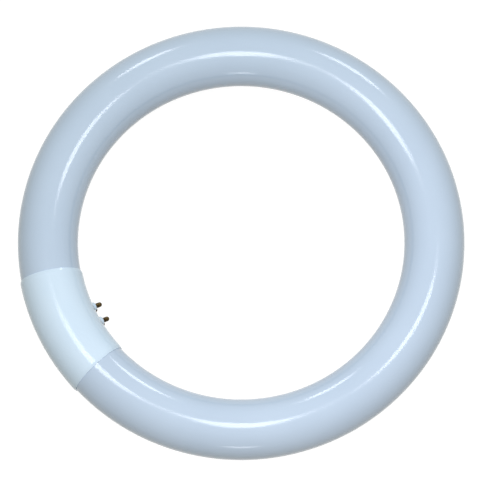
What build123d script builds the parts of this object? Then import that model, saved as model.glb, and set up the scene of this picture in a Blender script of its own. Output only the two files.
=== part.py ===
from build123d import *

import os
from math import degrees

# Circular fluorescent tube, in millimetres. The ring lies in the XY plane with its centre at the origin.
# The cap bridges the two glass ends on the -X side, and its four pins point inwards and slope down.

# Glass ring
ring_outside_diameter = 215.0
tube_diameter = 29.0
glass_end_gap = 24.0
shoulder_radius = 4.0
flare_rim = 2.0
flare_taper = 2.5
flare_depth = 6.0
exhaust_tip_diameter = 4.0
exhaust_tip_length = 5.0

# Cap shells
cap_length = 51.8
cap_wall = 0.6
cap_clearance = 0.05
cap_end_wall = 0.3
cap_end_taper = 1.2
seam_groove_depth = 0.12
tongue_height = 0.8
tongue_thickness = 0.25
tongue_clearance = 0.05
tongue_setback = 2.0
stop_rib_bearing = 1.0
stop_rib_thickness = 1.2

# Pin seat and bosses
pin_pitch_along = 7.92
pin_pitch_across = 6.35
pin_slope = 24.0
seat_depth = 2.0
boss_rise = 0.9
boss_rim = 0.6
boss_taper = 0.9
boss_height = 3.1
boss_edge_round = 0.3

# Contact pins
pin_diameter = 2.35
pin_projection = 4.1
pin_bore_diameter = 1.5
pin_tip_wall = 1.2
shank_width = 0.3
shank_rise = 0.3
shank_clearance = 0.05
collar_width = 0.3
collar_thickness = 0.6
pin_tail_length = 2.0

# Lead wires
wire_diameter = 0.6
wire_bend_radius = 2.0
wire_tip_clearance = 0.9
wire_run_from_glass = 2.0
wire_run_to_pin = 3.0

# Radii and angles that follow from the sizes above
tube_radius = tube_diameter / 2
ring_radius = (ring_outside_diameter - tube_diameter) / 2
end_face_radius = tube_radius - shoulder_radius
flare_floor_radius = end_face_radius - flare_rim - flare_taper
cap_bore_radius = tube_radius + cap_clearance
cap_radius = cap_bore_radius + cap_wall
tongue_radius = cap_bore_radius + tongue_thickness
stop_rib_radius = end_face_radius - stop_rib_bearing
gap_angle = degrees(glass_end_gap / ring_radius)
cap_angle = degrees(cap_length / ring_radius)
cap_mid_angle = 180.0
cap_start_angle = cap_mid_angle - cap_angle / 2

# Radii of a pin and its boss, and distances along the pin from the tube's centre line
pin_radius = pin_diameter / 2
shank_radius = pin_radius + shank_width
collar_radius = shank_radius + collar_width
boss_radius = shank_radius + boss_rim
boss_foot_radius = boss_radius + boss_taper
boss_face = cap_radius + boss_rise
seat_back = cap_bore_radius - seat_depth
shank_end = boss_face + shank_rise
pin_tip = boss_face + pin_projection
bore_end = pin_tip - pin_tip_wall
collar_back = seat_back - collar_thickness
tail_end = collar_back - pin_tail_length

# Distance of a lead wire from the exhaust tip's axis
wire_offset = exhaust_tip_diameter / 2 + wire_tip_clearance + wire_diameter / 2

# The pins' frame: z runs out along a pin, x runs along the tube, and y is square to both
pin_frame = Plane(
    origin=(-ring_radius, 0, 0),
    x_dir=(0, 1, 0),
    z_dir=Vector(1, 0, 0).rotate(Axis.Y, pin_slope),
)
pin_places = list(GridLocations(pin_pitch_along, pin_pitch_across, 2, 2))
on_base = (Align.CENTER, Align.CENTER, Align.MIN)


def ring_arc(profile, start, sweep):
    """Turns a profile, drawn about the tube's centre, through part of the ring."""
    placed = Plane.XZ * Pos(ring_radius, 0) * profile
    return Rot(0, 0, start) * revolve(placed, Axis.Z, sweep)


def rounded_arc(radius, start, sweep, end_round):
    """A solid round bar bent along part of the ring, with the rims of its two end faces rounded."""
    bar = ring_arc(Circle(radius), start, sweep)
    end_faces = bar.faces().filter_by(GeomType.PLANE)
    return fillet(end_faces.edges(), end_round)


def tapered_arc(radius, start, sweep, drop, run):
    """A solid round bar bent along part of the ring, with the rims of its two end faces bevelled."""
    bar = ring_arc(Circle(radius), start, sweep)
    for end in (0, -1):
        end_face = bar.faces().filter_by(GeomType.PLANE).sort_by(Axis.Y)[end]
        bar = chamfer(end_face.edges(), drop, run, reference=end_face)
    return bar


def glass_end_frame(side):
    """The frame at one glass end: z points out of the end, and x away from the ring's centre."""
    angle = cap_mid_angle - side * gap_angle / 2
    outward = Vector(1, 0, 0).rotate(Axis.Z, angle)
    along = Vector(0, side, 0).rotate(Axis.Z, angle)
    return Plane(origin=outward * ring_radius, x_dir=outward, z_dir=along)


def make_glass_tube():
    """The sealed ring of glass, with a flared stem and an exhaust tip in each end."""
    glass_start = cap_mid_angle + gap_angle / 2
    tube = rounded_arc(tube_radius, glass_start, 360 - gap_angle, shoulder_radius)
    flare = Cone(flare_floor_radius, flare_floor_radius + flare_taper, flare_depth, align=on_base)
    exhaust_tip = Cylinder(exhaust_tip_diameter / 2, exhaust_tip_length, align=on_base)
    exhaust_tip += Pos(0, 0, exhaust_tip_length) * Sphere(exhaust_tip_diameter / 2)
    for side in (-1, 1):
        flare_floor = glass_end_frame(side) * Pos(0, 0, -flare_depth)
        tube -= flare_floor * flare
        tube += flare_floor * exhaust_tip
    return tube


def make_cap_wall():
    """The wall of both halves of the cap, with the stop ribs and the groove along the seam."""
    body = tapered_arc(cap_radius, cap_start_angle, cap_angle, cap_wall - cap_end_wall, cap_end_taper)
    body -= ring_arc(Circle(cap_bore_radius), cap_start_angle, cap_angle)
    rib_angle = degrees(stop_rib_thickness / ring_radius)
    rib = Circle(cap_bore_radius + cap_wall / 2) - Circle(stop_rib_radius)
    for rib_start in (cap_mid_angle - gap_angle / 2, cap_mid_angle + gap_angle / 2 - rib_angle):
        body += ring_arc(rib, rib_start, rib_angle)
    groove = RegularPolygon(seam_groove_depth, side_count=4)
    for side in (-1, 1):
        body -= ring_arc(Pos(side * cap_radius, 0) * groove, cap_start_angle, cap_angle)
    return body


def seam_strip(inner_radius, outer_radius, height, setback):
    """Two strips just below the ring's plane, between two radii and short of the cap's two ends."""
    section = Circle(outer_radius) - Circle(inner_radius)
    section &= Pos(0, -height / 2) * Rectangle(2 * cap_radius, height)
    setback_angle = degrees(setback / ring_radius)
    return ring_arc(section, cap_start_angle + setback_angle, cap_angle - 2 * setback_angle)


def make_cap_upper_shell():
    """The plain half of the cap, with a thin tongue that drops inside the lower half."""
    tongue = seam_strip(cap_bore_radius, tongue_radius, tongue_height, tongue_setback)
    return split(make_cap_wall(), Plane.XY, keep=Keep.TOP) + tongue


def make_cap_lower_shell():
    """The half of the cap with the rebate for the tongue, and a boss with a hole for each pin."""
    shell = make_cap_wall()
    seat = Box(
        pin_pitch_along + 2 * boss_foot_radius,
        pin_pitch_across + 2 * boss_foot_radius,
        boss_face - seat_back,
        align=on_base,
    )
    seat = pin_frame * Pos(0, 0, seat_back) * seat
    shell += seat & ring_arc(Circle(cap_bore_radius + cap_wall / 2), cap_start_angle, cap_angle)
    boss = Cone(boss_foot_radius, boss_radius, boss_height, align=on_base)
    boss = fillet(boss.edges().sort_by(Axis.Z)[-1], boss_edge_round)
    hole = Cylinder(shank_radius + shank_clearance, boss_face - seat_back, align=on_base)
    for place in pin_places:
        shell += pin_frame * place * Pos(0, 0, boss_face - boss_height) * boss
    shell = split(shell, Plane.XY, keep=Keep.BOTTOM)
    shell -= seam_strip(
        cap_bore_radius - tongue_clearance,
        tongue_radius + tongue_clearance,
        tongue_height + tongue_clearance,
        tongue_setback - tongue_clearance,
    )
    for place in pin_places:
        shell -= pin_frame * place * Pos(0, 0, seat_back) * hole
    return shell


def make_contact_pin(place):
    """A tubular pin: domed tip, wider shank in the seat, collar on the seat's back, tail for its wire."""
    side = Polyline(
        (0, bore_end),
        (pin_bore_diameter / 2, bore_end),
        (pin_bore_diameter / 2, tail_end),
        (pin_radius, tail_end),
        (pin_radius, collar_back),
        (collar_radius, collar_back),
        (collar_radius, seat_back),
        (shank_radius, seat_back),
        (shank_radius, shank_end),
        (pin_radius, shank_end),
        (pin_radius, pin_tip - pin_radius),
    )
    dome = RadiusArc(side @ 1, (0, pin_tip), -pin_radius)
    axis_line = Line(dome @ 1, side @ 0)
    section = make_face(side + dome + axis_line)
    return pin_frame * place * revolve(Plane.XZ * section, Axis.Z)


def make_lead_wire(place):
    """A wire from the floor of the nearer glass end, round two bends and up its pin's bore."""
    end = glass_end_frame(1 if place.position.X > 0 else -1)
    across = pin_frame.y_dir * (wire_offset if place.position.Y > 0 else -wire_offset)
    across -= end.z_dir * across.dot(end.z_dir)
    wire_exit = end.origin + across
    wire_root = wire_exit - end.z_dir * flare_depth
    route = FilletPolyline(
        wire_root,
        wire_exit + end.z_dir * wire_run_from_glass,
        pin_frame.from_local_coords(place.position + Vector(0, 0, tail_end - wire_run_to_pin)),
        pin_frame.from_local_coords(place.position + Vector(0, 0, bore_end)),
        radius=wire_bend_radius,
    )
    return sweep(Plane(wire_root, z_dir=end.z_dir) * Circle(wire_diameter / 2), route)


parts = {
    "glass_tube": make_glass_tube(),
    "cap_upper_shell": make_cap_upper_shell(),
    "cap_lower_shell": make_cap_lower_shell(),
}
for number, pin_place in enumerate(pin_places, start=1):
    parts[f"contact_pin_{number}"] = make_contact_pin(pin_place)
    parts[f"lead_wire_{number}"] = make_lead_wire(pin_place)

os.makedirs("parts", exist_ok=True)
for node, shape in parts.items():
    export_step(shape, f"parts/{node}.step")
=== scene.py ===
"""Circular fluorescent tube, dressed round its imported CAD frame. Every length is in metres."""

import logging
import math
from collections.abc import Iterable
from dataclasses import dataclass
from enum import Enum
from typing import TypeVar

import bmesh
import bpy
from mathutils import Matrix, Vector


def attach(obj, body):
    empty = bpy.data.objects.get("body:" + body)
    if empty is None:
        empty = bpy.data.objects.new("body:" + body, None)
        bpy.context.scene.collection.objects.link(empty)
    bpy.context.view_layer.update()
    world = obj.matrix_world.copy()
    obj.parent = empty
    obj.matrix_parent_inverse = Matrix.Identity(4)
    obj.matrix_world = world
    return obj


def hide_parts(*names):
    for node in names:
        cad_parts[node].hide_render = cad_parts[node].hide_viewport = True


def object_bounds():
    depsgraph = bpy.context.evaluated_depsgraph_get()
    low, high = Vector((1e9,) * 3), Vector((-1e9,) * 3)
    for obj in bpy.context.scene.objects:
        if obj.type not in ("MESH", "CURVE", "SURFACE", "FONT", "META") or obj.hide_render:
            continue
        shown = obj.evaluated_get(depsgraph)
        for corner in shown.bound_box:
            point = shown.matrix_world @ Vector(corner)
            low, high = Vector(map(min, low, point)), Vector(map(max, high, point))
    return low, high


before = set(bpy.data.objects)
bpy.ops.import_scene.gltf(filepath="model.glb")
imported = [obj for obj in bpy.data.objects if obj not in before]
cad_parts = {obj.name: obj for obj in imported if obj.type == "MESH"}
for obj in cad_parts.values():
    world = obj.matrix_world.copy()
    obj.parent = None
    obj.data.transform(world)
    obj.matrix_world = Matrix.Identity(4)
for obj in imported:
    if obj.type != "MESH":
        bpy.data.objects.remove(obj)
cad_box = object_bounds()

logging.basicConfig(level=logging.INFO, format="%(name)s: %(message)s")
log = logging.getLogger("circular_tube")

Colour = tuple[float, float, float]
Place = tuple[float, float, float]
Span = tuple[float, float]
Socket = bpy.types.NodeSocket
Element = TypeVar("Element")

BODY = "root"
CENTRE = Vector((0.0, 0.0, 0.0))
UPRIGHT = Vector((0.0, 0.0, 1.0))
QUARTER_TURN = math.pi / 2
WELD_DISTANCE = 1e-7
NOISE_MIDDLE: Span = (0.25, 0.75)
WHITE: Colour = (1.0, 1.0, 1.0)


class Detail(Enum):
    """How many finer layers a noise has."""

    SMOOTH = 1.0
    FINE = 2.0
    CLOUDED = 3.0
    PATCHY = 4.0


class GlassEnd(Enum):
    """The two sealed ends of the glass, by the way round the ring that each one points."""

    LEADING = 1
    TRAILING = -1


def rgba(colour: Colour) -> tuple[float, float, float, float]:
    """Gives a colour the full alpha that a colour socket takes."""
    return (*colour, 1.0)


class ShaderSheet:
    """One material's node tree, with short calls for the nodes that the finishes share."""

    def __init__(self, name: str) -> None:
        """Starts a material with its Principled shader and the piece's Object coordinates.

        Args:
            name: The material's name.
        """
        self.material = bpy.data.materials.new(name)
        self.material.use_nodes = True
        self.nodes = self.material.node_tree.nodes
        self.links = self.material.node_tree.links
        self.shader = self.nodes["Principled BSDF"]
        self.place = self.nodes.new("ShaderNodeTexCoord").outputs["Object"]

    def setting(self, socket: str, value: float) -> None:
        """Sets one of the shader's own sockets to a number that holds all over the surface."""
        self.shader.inputs[socket].default_value = value

    def feed(self, socket: str, source: Socket) -> None:
        """Links a node's output to one of the shader's own sockets."""
        self.links.new(source, self.shader.inputs[socket])

    def noise(self, waves: float, detail: Detail) -> Socket:
        """Adds a soft noise.

        Args:
            waves: The number of waves in a metre.
            detail: How many finer layers it has.

        Returns:
            The noise's value, which is mostly between 0.3 and 0.7.
        """
        texture = self.nodes.new("ShaderNodeTexNoise")
        texture.inputs["Scale"].default_value = waves
        texture.inputs["Detail"].default_value = detail.value
        self.links.new(self.place, texture.inputs["Vector"])
        return texture.outputs["Fac"]

    def spread(self, value: Socket, low: float = 0.0, high: float = 1.0) -> Socket:
        """Spreads a noise's middle range smoothly over another range.

        Args:
            value: The noise.
            low: What its low places become.
            high: What its high places become.

        Returns:
            The spread value.
        """
        spread = self.nodes.new("ShaderNodeMapRange")
        spread.interpolation_type = "SMOOTHSTEP"
        spread.inputs["From Min"].default_value = NOISE_MIDDLE[0]
        spread.inputs["From Max"].default_value = NOISE_MIDDLE[1]
        spread.inputs["To Min"].default_value = low
        spread.inputs["To Max"].default_value = high
        self.links.new(value, spread.inputs["Value"])
        return spread.outputs["Result"]

    def between(self, amount: Socket, first: Colour, second: Colour) -> Socket:
        """Mixes two colours by a value that varies over the surface.

        Args:
            amount: The value, 0 for the first colour and 1 for the second.
            first: The first colour.
            second: The second colour.

        Returns:
            The mixed colour.
        """
        mix = self.nodes.new("ShaderNodeMix")
        mix.data_type = "RGBA"
        mix.inputs["A"].default_value = rgba(first)
        mix.inputs["B"].default_value = rgba(second)
        self.links.new(amount, mix.inputs["Factor"])
        return mix.outputs["Result"]

    def bump(self, height: Socket, depth: float, under: Socket | None = None) -> Socket:
        """Turns a height into a bumped normal.

        Args:
            height: The height, from 0 to 1.
            depth: How far a height of 1 stands up.
            under: A coarser bump below this one, if there is one.

        Returns:
            The bumped normal.
        """
        bump = self.nodes.new("ShaderNodeBump")
        bump.inputs["Distance"].default_value = depth
        self.links.new(height, bump.inputs["Height"])
        if under is not None:
            self.links.new(under, bump.inputs["Normal"])
        return bump.outputs["Normal"]


@dataclass(frozen=True)
class CoatedGlass:
    """Clear bent glass over a matt pale coating, which shows faint clouds and specks."""

    pale: Colour = (0.524, 0.63, 0.768)
    dull: Colour = (0.495, 0.6, 0.738)
    cloud_waves: float = 22.0
    speck_waves: float = 900.0
    speck_depth: float = 0.00002
    coating_roughness: Span = (0.5, 0.62)
    coating_specular: float = 0.0
    ripple_waves: float = 30.0
    ripple_depth: float = 0.00007
    glass_weight: float = 1.0
    glass_roughness: float = 0.13
    glass_ior: float = 1.5

    def make(self) -> bpy.types.Material:
        """Builds the finish.

        Returns:
            The material.
        """
        sheet = ShaderSheet("glass_over_coating")
        clouds = sheet.spread(sheet.noise(self.cloud_waves, Detail.CLOUDED))
        specks = sheet.noise(self.speck_waves, Detail.FINE)
        ripples = sheet.bump(sheet.noise(self.ripple_waves, Detail.SMOOTH), self.ripple_depth)
        sheet.feed("Base Color", sheet.between(clouds, self.pale, self.dull))
        sheet.feed("Roughness", sheet.spread(specks, *self.coating_roughness))
        sheet.feed("Normal", sheet.bump(specks, self.speck_depth, ripples))
        sheet.feed("Coat Normal", ripples)
        sheet.setting("Coat Weight", self.glass_weight)
        sheet.setting("Coat Roughness", self.glass_roughness)
        sheet.setting("Coat IOR", self.glass_ior)
        sheet.setting("Specular IOR Level", self.coating_specular)
        return sheet.material


@dataclass(frozen=True)
class MouldedPlastic:
    """White plastic from a polished mould, a little uneven in sheen."""

    pale: Colour = (0.66, 0.79, 0.92)
    dull: Colour = (0.64, 0.775, 0.91)
    cloud_waves: float = 60.0
    grain_waves: float = 1800.0
    grain_depth: float = 0.000012
    sink_waves: float = 45.0
    sink_depth: float = 0.00018
    roughness: Span = (0.11, 0.15)
    specular: float = 0.33

    def make(self) -> bpy.types.Material:
        """Builds the finish.

        Returns:
            The material.
        """
        sheet = ShaderSheet("moulded_plastic")
        clouds = sheet.spread(sheet.noise(self.cloud_waves, Detail.CLOUDED))
        grain = sheet.noise(self.grain_waves, Detail.FINE)
        sinks = sheet.bump(sheet.noise(self.sink_waves, Detail.SMOOTH), self.sink_depth)
        sheet.feed("Base Color", sheet.between(clouds, self.pale, self.dull))
        sheet.feed("Roughness", sheet.spread(clouds, *self.roughness))
        sheet.feed("Normal", sheet.bump(grain, self.grain_depth, sinks))
        sheet.setting("Specular IOR Level", self.specular)
        return sheet.material


@dataclass(frozen=True)
class DrawnMetal:
    """Drawn metal with soft patches of two colours and fine marks from the die."""

    name: str
    bright: Colour
    dark: Colour
    patch_waves: float
    patch_detail: Detail
    mark_waves: float
    mark_depth: float
    roughness: Span
    metallic: float = 1.0

    def make(self) -> bpy.types.Material:
        """Builds the finish.

        Returns:
            The material.
        """
        sheet = ShaderSheet(self.name)
        patches = sheet.spread(sheet.noise(self.patch_waves, self.patch_detail))
        marks = sheet.noise(self.mark_waves, Detail.FINE)
        sheet.feed("Base Color", sheet.between(patches, self.bright, self.dark))
        sheet.feed("Roughness", sheet.spread(patches, *self.roughness))
        sheet.feed("Normal", sheet.bump(marks, self.mark_depth))
        sheet.setting("Metallic", self.metallic)
        return sheet.material


Finish = CoatedGlass | MouldedPlastic | DrawnMetal

# Brass for the pins: some tarnish, but both colours are darkened further with painted shade, so the
# pins read dark all over as if they lay in shadow.
BRASS_TARNISH_AND_PAINTED_SHADE = DrawnMetal(
    name="brass_tarnish_and_painted_shade",
    bright=(0.12, 0.08, 0.03),
    dark=(0.028, 0.019, 0.008),
    patch_waves=420.0,
    patch_detail=Detail.PATCHY,
    mark_waves=2500.0,
    mark_depth=0.00002,
    roughness=(0.25, 0.45),
)
DRAWN_WIRE = DrawnMetal(
    name="drawn_wire",
    bright=(0.58, 0.57, 0.55),
    dark=(0.42, 0.41, 0.39),
    patch_waves=500.0,
    patch_detail=Detail.CLOUDED,
    mark_waves=4000.0,
    mark_depth=0.00001,
    roughness=(0.25, 0.4),
)


def add_mesh(name: str, shape: bmesh.types.BMesh) -> bpy.types.Object:
    """Makes a linked object from a bmesh and frees the bmesh.

    Args:
        name: The object's name.
        shape: The finished shape, in the row's frame.

    Returns:
        The object, which sits at the origin.
    """
    mesh = bpy.data.meshes.new(name)
    shape.to_mesh(mesh)
    shape.free()
    piece = bpy.data.objects.new(name, mesh)
    bpy.context.scene.collection.objects.link(piece)
    return piece


def picked(geom: Iterable[object], kind: type[Element]) -> list[Element]:
    """Picks one kind of element out of what a bmesh operator gives back."""
    return [element for element in geom if isinstance(element, kind)]


def quarter_round(radius: float, steps: int) -> list[Span]:
    """Lists a quarter circle's points, each by how far it is out from the axis and along it."""
    turns = [QUARTER_TURN * step / steps for step in range(steps + 1)]
    return [(radius * math.cos(turn), radius * math.sin(turn)) for turn in turns]


@dataclass
class GlassRing:
    """The bent glass tube with its two sealed ends."""

    ring_radius: float = 0.093
    tube_radius: float = 0.0145
    end_gap: float = 0.024
    shoulder_radius: float = 0.004
    flare_mouth_radius: float = 0.0085
    flare_floor_radius: float = 0.006
    flare_depth: float = 0.006
    tip_radius: float = 0.002
    tip_length: float = 0.005
    round_segments: int = 96
    ring_steps: int = 340
    shoulder_steps: int = 8
    tip_steps: int = 6
    sharp_angle: float = math.radians(35.0)
    finish: Finish = CoatedGlass()

    def build(self) -> bpy.types.Object:
        """Models the glass, dresses it and puts it in the CAD node's place.

        Returns:
            The glass, riding on the frame.
        """
        piece = add_mesh("glass_ring", self.model())
        self.dress(piece)
        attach(piece, BODY)
        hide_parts("glass_tube")
        return piece

    def model(self) -> bmesh.types.BMesh:
        """Spins the tube round the ring, short of its two shoulders, and closes its ends.

        Returns:
            The closed shape.
        """
        shape = bmesh.new()
        half_gap = (self.end_gap / 2 + self.shoulder_radius) / self.ring_radius
        bmesh.ops.create_circle(
            shape,
            segments=self.round_segments,
            radius=self.tube_radius,
            matrix=self.across_ring(math.pi + half_gap),
        )
        first_rim = shape.edges[:]
        turned = bmesh.ops.spin(
            shape,
            geom=first_rim,
            cent=CENTRE,
            axis=UPRIGHT,
            angle=2 * (math.pi - half_gap),
            steps=self.ring_steps,
        )
        last_rim = picked(turned["geom_last"], bmesh.types.BMEdge)
        self.close_end(shape, last_rim, GlassEnd.LEADING)
        self.close_end(shape, first_rim, GlassEnd.TRAILING)
        bmesh.ops.remove_doubles(shape, verts=shape.verts, dist=WELD_DISTANCE)
        bmesh.ops.recalc_face_normals(shape, faces=shape.faces)
        for face in shape.faces:
            face.smooth = True
        return shape

    def dress(self, piece: bpy.types.Object) -> None:
        """Keeps the glass's sharp rims crisp and gives it its finish."""
        piece.data.set_sharp_from_angle(angle=self.sharp_angle)
        piece.data.materials.append(self.finish.make())

    def across_ring(self, angle: float) -> Matrix:
        """Works out the place of a circle that stands across the ring.

        Args:
            angle: How far round the ring it stands.

        Returns:
            The circle's matrix.
        """
        standing = Matrix.Rotation(QUARTER_TURN, 4, "X")
        out = Matrix.Translation((self.ring_radius, 0.0, 0.0))
        return Matrix.Rotation(angle, 4, "Z") @ out @ standing

    def end_rings(self) -> list[Span]:
        """Lists the rings that close an end, from the tube's wall to the exhaust tip's pole.

        Returns:
            Each ring's radius, and how far it lies beyond the end of the plain tube.
        """
        face_radius = self.tube_radius - self.shoulder_radius
        floor = self.shoulder_radius - self.flare_depth
        shoulder = quarter_round(self.shoulder_radius, self.shoulder_steps)[1:]
        dome = quarter_round(self.tip_radius, self.tip_steps)
        return [
            *((face_radius + out, along) for out, along in shoulder),
            (self.flare_mouth_radius, self.shoulder_radius),
            (self.flare_floor_radius, floor),
            (self.tip_radius, floor),
            *((out, floor + self.tip_length + along) for out, along in dome),
        ]

    def close_end(
        self, shape: bmesh.types.BMesh, rim: list[bmesh.types.BMEdge], end: GlassEnd
    ) -> None:
        """Draws a rim in to its shoulder, flare and exhaust tip, down to the tip's pole.

        Args:
            shape: The glass so far.
            rim: The open rim's edges.
            end: Which end this is.
        """
        radius, reach = self.tube_radius, 0.0
        for next_radius, next_reach in self.end_rings():
            turn = end.value * (next_reach - reach) / self.ring_radius
            rim = self.grow_rim(shape, rim, turn, next_radius / radius)
            radius, reach = next_radius, next_reach

    def grow_rim(
        self,
        shape: bmesh.types.BMesh,
        rim: list[bmesh.types.BMEdge],
        turn: float,
        share: float,
    ) -> list[bmesh.types.BMEdge]:
        """Grows a rim by one ring, which is turned on round the ring's centre and then scaled.

        Args:
            shape: The glass so far.
            rim: The open rim's edges.
            turn: The angle that the new rim is turned on by.
            share: The new rim's radius, as a share of the old one's.

        Returns:
            The new rim's edges.
        """
        grown = bmesh.ops.extrude_edge_only(shape, edges=rim)["geom"]
        verts = picked(grown, bmesh.types.BMVert)
        bmesh.ops.rotate(shape, verts=verts, cent=CENTRE, matrix=Matrix.Rotation(turn, 3, "Z"))
        middle = sum((vert.co for vert in verts), Vector()) / len(verts)
        bmesh.ops.scale(
            shape, verts=verts, vec=(share, share, share), space=Matrix.Translation(-middle)
        )
        new_verts = set(verts)
        edges = picked(grown, bmesh.types.BMEdge)
        return [edge for edge in edges if new_verts.issuperset(edge.verts)]


@dataclass
class Cap:
    """The plastic cap's two shells, its four contact pins, and the wires inside it."""

    shells: tuple[str, ...] = ("cap_upper_shell", "cap_lower_shell")
    pin_count: int = 4
    shell_finish: Finish = MouldedPlastic()
    # The pins' brass carries painted shade in its darkened colours.
    pin_finish: Finish = BRASS_TARNISH_AND_PAINTED_SHADE
    wire_finish: Finish = DRAWN_WIRE

    def dress(self) -> list[bpy.types.Object]:
        """Gives each of the cap's CAD nodes its finish.

        Returns:
            The dressed nodes.
        """
        numbers = range(1, self.pin_count + 1)
        return [
            *self.dress_nodes(self.shells, self.shell_finish),
            *self.dress_nodes((f"contact_pin_{number}" for number in numbers), self.pin_finish),
            *self.dress_nodes((f"lead_wire_{number}" for number in numbers), self.wire_finish),
        ]

    def dress_nodes(self, names: Iterable[str], finish: Finish) -> list[bpy.types.Object]:
        """Gives some CAD nodes one better material.

        Args:
            names: The nodes' names.
            finish: The finish for all their material slots.

        Returns:
            The nodes.
        """
        material = finish.make()
        nodes = [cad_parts[name] for name in names]
        for node in nodes:
            for slot in node.material_slots:
                slot.material = material
        return nodes


def facing(place: Vector, right: Vector, up: Vector, back: Vector) -> Matrix:
    """The matrix of a camera or lamp that stands at a place with the given axes of its own."""
    return Matrix.Translation(place) @ Matrix((right, up, back)).transposed().to_4x4()


@dataclass
class View:
    """The camera at the photograph's viewing angle."""

    azimuth: float = math.radians(-26.95)
    elevation: float = math.radians(75.0)
    distance: float = 2.79
    aim_right: float = -0.00057
    aim_up: float = 0.00069
    lens: float = 434.8
    sensor: float = 36.0

    def axes(self) -> tuple[Vector, Vector, Vector]:
        """Works out the picture's own axes.

        Returns:
            The directions to the right, up the picture, and back to the camera.
        """
        level = math.cos(self.elevation)
        back = Vector((
            math.sin(self.azimuth) * level,
            -math.cos(self.azimuth) * level,
            math.sin(self.elevation),
        ))
        right = Vector((math.cos(self.azimuth), math.sin(self.azimuth), 0.0))
        return right, back.cross(right), back

    def place(self, right: float, up: float, back: float) -> Vector:
        """Turns a place given in the picture's axes, from the tube's middle, into the row's frame.

        Args:
            right: How far it is to the right.
            up: How far it is up the picture.
            back: How far it is back to the camera.

        Returns:
            The place.
        """
        axes = self.axes()
        return axes[0] * right + axes[1] * up + axes[2] * back

    def build(self) -> bpy.types.Object:
        """Makes the scene's camera.

        Returns:
            The camera.
        """
        lens = bpy.data.cameras.new("view")
        lens.lens = self.lens
        lens.sensor_width = self.sensor
        lens.sensor_fit = "HORIZONTAL"
        camera = bpy.data.objects.new("view", lens)
        place = self.place(self.aim_right, self.aim_up, self.distance)
        camera.matrix_world = facing(place, *self.axes())
        bpy.context.scene.collection.objects.link(camera)
        bpy.context.scene.camera = camera
        return camera


def hang_lamp(light: bpy.types.Light, matrix: Matrix) -> bpy.types.Object:
    """Hangs a lamp that the camera itself doesn't see.

    Args:
        light: The lamp's light.
        matrix: The lamp's place and turn.

    Returns:
        The lamp.
    """
    lamp = bpy.data.objects.new(light.name, light)
    lamp.matrix_world = matrix
    lamp.visible_camera = False
    bpy.context.scene.collection.objects.link(lamp)
    return lamp


@dataclass(frozen=True)
class PanelLamp:
    """A long oval lamp that faces the tube's middle. Its two ends are in the picture's axes."""

    name: str
    first: Place
    second: Place
    width: float
    radiance: float
    tint: Colour = (0.97, 1.0, 1.06)

    def build(self, view: View) -> bpy.types.Object:
        """Hangs the lamp.

        Args:
            view: The camera's view, whose axes the ends are given in.

        Returns:
            The lamp.
        """
        first = view.place(*self.first)
        second = view.place(*self.second)
        along = second - first
        middle = (first + second) / 2
        back = middle.normalized()
        side = back.cross(along).normalized()
        area = math.pi / 4 * along.length * self.width
        panel = bpy.data.lights.new(self.name, "AREA")
        panel.shape = "ELLIPSE"
        panel.size = along.length
        panel.size_y = self.width
        panel.color = self.tint
        panel.energy = math.pi * area * self.radiance
        return hang_lamp(panel, facing(middle, side.cross(back), side, back))


@dataclass(frozen=True)
class SoftSpot:
    """A spot lamp with a soft pool of light, which gives no highlight of its own.

    At a level of 1 it would light a white face to full white.
    """

    name: str
    place: Place
    aim: Place
    pool_radius: float
    level: float
    bulb_radius: float = 0.1
    pool_blend: float = 1.0
    tint: Colour = (1.03, 0.96, 1.05)

    def build(self, view: View) -> bpy.types.Object:
        """Hangs the lamp.

        Args:
            view: The camera's view, whose axes the places are given in.

        Returns:
            The lamp.
        """
        place = view.place(*self.place)
        throw = place - view.place(*self.aim)
        spot = bpy.data.lights.new(self.name, "SPOT")
        spot.spot_size = 2 * math.atan(self.pool_radius / throw.length)
        spot.spot_blend = self.pool_blend
        spot.shadow_soft_size = self.bulb_radius
        spot.color = self.tint
        spot.energy = self.level * (2 * math.pi * throw.length) ** 2
        turned = throw.to_track_quat("Z", "Y").to_matrix().to_4x4()
        lamp = hang_lamp(spot, Matrix.Translation(place) @ turned)
        lamp.visible_glossy = False
        return lamp


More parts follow.
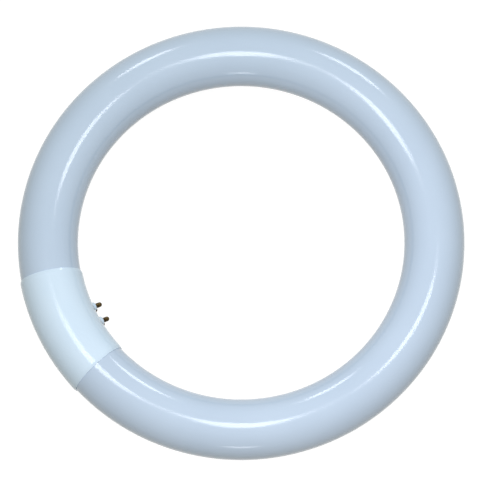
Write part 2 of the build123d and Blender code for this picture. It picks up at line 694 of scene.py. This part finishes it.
@dataclass
class Studio:
    """The pale floor, the soft light and the white background."""

    floor_half: float = 12.0
    floor_bounce: Colour = (0.08, 0.07, 0.05)
    floor_shade: Colour = (0.2, 0.2, 0.2)
    floor_glow: float = 0.91
    sky_light: Colour = (0.348, 0.371, 0.315)
    lamps: tuple[PanelLamp | SoftSpot, ...] = (
        SoftSpot(
            name="soft_spot",
            place=(0.0, 0.0, 2.9),
            aim=(0.05, -0.055, 0.0),
            pool_radius=0.27,
            level=0.38,
        ),
        PanelLamp(
            name="strip_right",
            first=(0.54, 0.46, 1.2),
            second=(0.21, 0.455, 1.2),
            width=0.26,
            radiance=9.0,
        ),
        PanelLamp(
            name="strip_middle",
            first=(0.0, 0.475, 1.2),
            second=(0.0, 0.075, 1.2),
            width=0.18,
            radiance=9.4,
        ),
        PanelLamp(
            name="strip_left",
            first=(-0.14, 0.48, 1.2),
            second=(-0.535, 0.29, 1.2),
            width=0.23,
            radiance=9.2,
        ),
        PanelLamp(
            name="low_strip_left",
            first=(-0.77, 1.74, 0.605),
            second=(-0.41, 1.885, 0.535),
            width=0.37,
            radiance=8.0,
        ),
        PanelLamp(
            name="low_strip_right",
            first=(0.50, 1.87, 0.51),
            second=(0.89, 1.67, 0.69),
            width=0.37,
            radiance=8.0,
        ),
        PanelLamp(
            name="low_strip_front",
            first=(-0.2, -1.86, 0.72),
            second=(0.2, -1.86, 0.72),
            width=0.25,
            radiance=5.2,
        ),
    )

    def build(self, view: View) -> list[bpy.types.Object]:
        """Makes the floor, the sky and the lamps.

        Args:
            view: The camera's view, whose axes place the lamps.

        Returns:
            The floor and the lamps.
        """
        bpy.context.scene.view_settings.view_transform = "Standard"
        self.light_sky()
        return [self.lay_floor(), *(lamp.build(view) for lamp in self.lamps)]

    def lay_floor(self) -> bpy.types.Object:
        """Lays a white floor under the tube.

        Returns:
            The floor.
        """
        shape = bmesh.new()
        level = Matrix.Translation((0.0, 0.0, cad_box[0].z))
        bmesh.ops.create_grid(shape, x_segments=1, y_segments=1, size=self.floor_half, matrix=level)
        floor = add_mesh("floor", shape)
        floor.data.materials.append(self.floor_finish())
        return floor

    def floor_finish(self) -> bpy.types.Material:
        """Builds a white finish that keeps the tube's shadow and throws little light back.

        Returns:
            The material.
        """
        material = bpy.data.materials.new("pale_floor")
        material.use_nodes = True
        tree = material.node_tree
        tree.nodes.clear()
        glow = tree.nodes.new("ShaderNodeEmission")
        glow.inputs["Strength"].default_value = self.floor_glow
        shade = tree.nodes.new("ShaderNodeBsdfDiffuse")
        shade.inputs["Color"].default_value = rgba(self.floor_shade)
        bounce = tree.nodes.new("ShaderNodeBsdfDiffuse")
        bounce.inputs["Color"].default_value = rgba(self.floor_bounce)
        white = tree.nodes.new("ShaderNodeAddShader")
        tree.links.new(glow.outputs["Emission"], white.inputs[0])
        tree.links.new(shade.outputs["BSDF"], white.inputs[1])
        output = tree.nodes.new("ShaderNodeOutputMaterial")
        chosen = self.by_ray(tree, bounce.outputs["BSDF"], white.outputs["Shader"])
        tree.links.new(chosen, output.inputs["Surface"])
        return material

    def light_sky(self) -> None:
        """Lights everything evenly from a sky that looks white."""
        world = bpy.data.worlds.new("studio")
        world.use_nodes = True
        tree = world.node_tree
        tree.nodes.clear()
        light = tree.nodes.new("ShaderNodeBackground")
        light.inputs["Color"].default_value = rgba(self.sky_light)
        white = tree.nodes.new("ShaderNodeBackground")
        white.inputs["Color"].default_value = rgba(WHITE)
        output = tree.nodes.new("ShaderNodeOutputWorld")
        chosen = self.by_ray(tree, light.outputs["Background"], white.outputs["Background"])
        tree.links.new(chosen, output.inputs["Surface"])
        bpy.context.scene.world = world

    def by_ray(self, tree: bpy.types.NodeTree, carried: Socket, shown: Socket) -> Socket:
        """Chooses between the light that a background gives and the look that it has.

        Args:
            tree: The node tree to add to.
            carried: The shader for the rays that only carry light.
            shown: The shader for camera, glossy and transmitted rays.

        Returns:
            The chosen shader.
        """
        rays = tree.nodes.new("ShaderNodeLightPath")
        seen = rays.outputs["Is Camera Ray"]
        for kind in ("Is Glossy Ray", "Is Transmission Ray"):
            either = tree.nodes.new("ShaderNodeMath")
            either.operation = "MAXIMUM"
            tree.links.new(seen, either.inputs[0])
            tree.links.new(rays.outputs[kind], either.inputs[1])
            seen = either.outputs["Value"]
        choose = tree.nodes.new("ShaderNodeMixShader")
        tree.links.new(seen, choose.inputs["Fac"])
        tree.links.new(carried, choose.inputs[1])
        tree.links.new(shown, choose.inputs[2])
        return choose.outputs["Shader"]


def main() -> None:
    """Builds the dressed tube, its camera and its studio, and reports each piece."""
    glass = GlassRing().build()
    log.info("%s: %d faces, stands for glass_tube", glass.name, len(glass.data.polygons))
    for node in Cap().dress():
        log.info("%s: CAD node, dressed with %s", node.name, node.material_slots[0].name)
    view = View()
    view.build()
    log.info("camera: %.1f mm lens, %.3f m away", view.lens, view.distance)
    for prop in Studio().build(view):
        log.info("%s: in the studio", prop.name)


if __name__ == "__main__":
    main()
